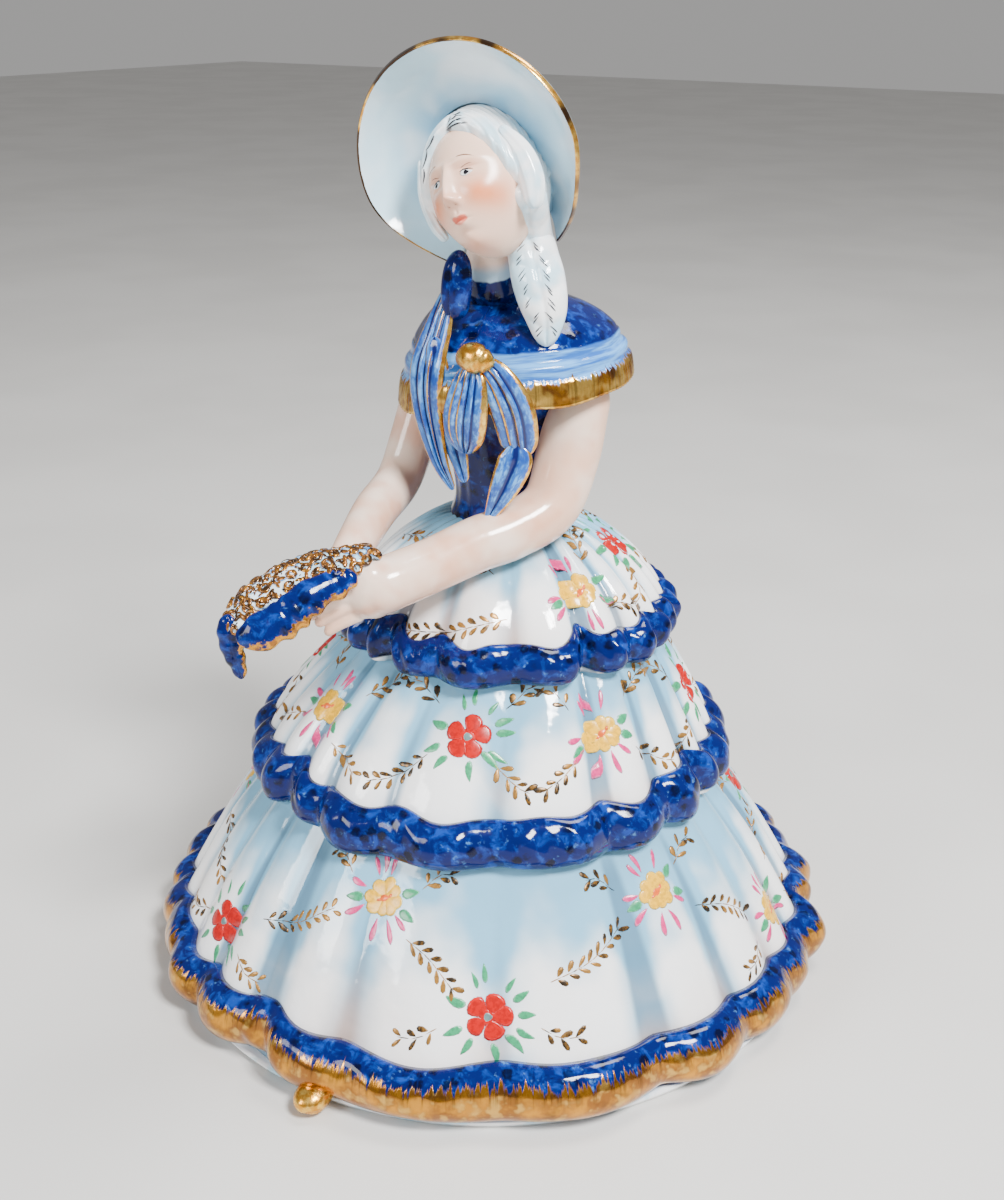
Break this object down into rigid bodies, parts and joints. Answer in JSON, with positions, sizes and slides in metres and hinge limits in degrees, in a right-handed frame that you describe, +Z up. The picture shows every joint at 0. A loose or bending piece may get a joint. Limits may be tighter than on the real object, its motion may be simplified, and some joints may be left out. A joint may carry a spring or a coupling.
{
  "type": "porcelain figurine",
  "caption": "Slip-cast porcelain figurine of a lady in a tiered crinoline gown and wide bonnet, holding a fan; the hollow gown stands on a flat foot ring.",
  "frame": {"origin": "centre of the foot ring, on the surface that the figurine stands on", "axes": "+Z up, the lady faces -Y, and her left side is +X"},
  "size_m": [0.172, 0.1734, 0.2206],
  "materials": {
    "white_porcelain": "glazed white",
    "pale_blue_glaze": "glazed pale blue",
    "cobalt_glaze": "glazed mottled cobalt blue",
    "sky_blue_glaze": "glazed brushed blue with gilt edges",
    "bisque_flesh": "satin flesh tint",
    "gilding": "burnished gilding over porcelain"
  },
  "bodies": {
    "root": {"lower_skirt_tier": "white_porcelain", "middle_skirt_tier": "white_porcelain", "upper_skirt_tier": "white_porcelain", "hem_band": "cobalt_glaze", "middle_band": "cobalt_glaze", "upper_band": "cobalt_glaze", "foot_ring": "pale_blue_glaze", "slipper_toe": "gilding", "bodice": "cobalt_glaze", "left_cape_sleeve": "sky_blue_glaze", "right_cape_sleeve": "sky_blue_glaze", "neck": "bisque_flesh", "head": "bisque_flesh", "hair": "white_porcelain", "left_braid": "white_porcelain", "bonnet_crown": "pale_blue_glaze", "bonnet_brim": "pale_blue_glaze", "chin_bow": "cobalt_glaze", "shoulder_ribbon": "sky_blue_glaze", "breast_knot": "gilding", "left_bow_loop": "sky_blue_glaze", "right_bow_loop": "sky_blue_glaze", "left_arm": "bisque_flesh", "right_arm": "bisque_flesh", "fan_leaf": "pale_blue_glaze", "fan_border": "cobalt_glaze", "fan_guard": "cobalt_glaze"}
  },
  "joints": []
}
